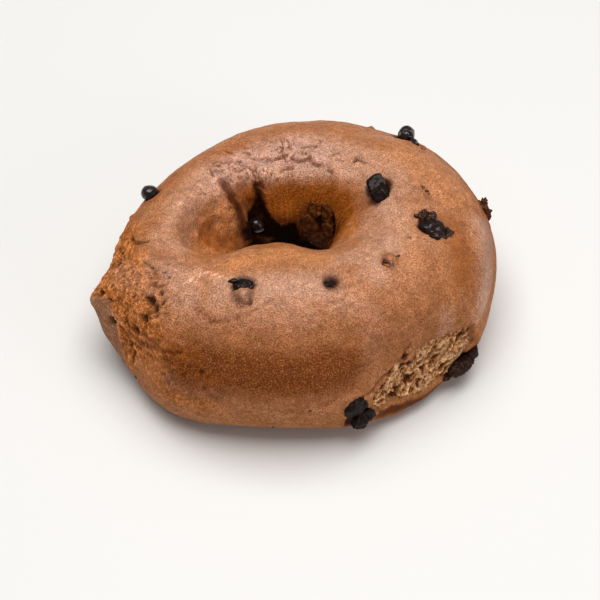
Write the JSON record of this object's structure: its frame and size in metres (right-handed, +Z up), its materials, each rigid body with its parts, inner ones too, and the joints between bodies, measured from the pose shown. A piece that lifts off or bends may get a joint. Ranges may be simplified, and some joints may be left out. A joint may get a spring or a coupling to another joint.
{
  "type": "chocolate chip bagel",
  "caption": "Baked bagel with chocolate chips set in its glossy brown crust, an uneven ring with a funnel-like hole, one side pulled into a ridge and one side torn to bare crumb.",
  "frame": {"origin": "middle of the bagel's outer box, at the level of the surface that it rests on", "axes": "+Z up out of the base, +X to the bagel's right along its longest side, -Y towards its thick front side"},
  "size_m": [0.1028, 0.0962, 0.0396],
  "materials": {
    "crust": "baked dough crust with a soft sheen, dry porous crumb where torn",
    "chocolate": "dark chocolate, half melted and set again"
  },
  "bodies": {
    "root": {"dough_ring": "crust", "chip_back_right": "chocolate", "chip_top_right": "chocolate", "chip_right_crown": "chocolate", "chip_right_side": "chocolate", "chip_left_side": "chocolate", "chip_front_left": "chocolate", "chip_front_middle": "chocolate", "chip_front_right": "chocolate", "chip_foot_front": "chocolate", "chip_foot_right": "chocolate", "chip_hole_left": "chocolate", "chip_hole_right": "chocolate", "chip_hole_low": "chocolate", "chip_hole_front": "chocolate", "chip_back_middle": "chocolate", "chip_back_low": "chocolate", "chip_back_high": "chocolate", "chip_back_left": "chocolate", "chip_left_low": "chocolate", "chip_right_low": "chocolate"}
  },
  "joints": []
}
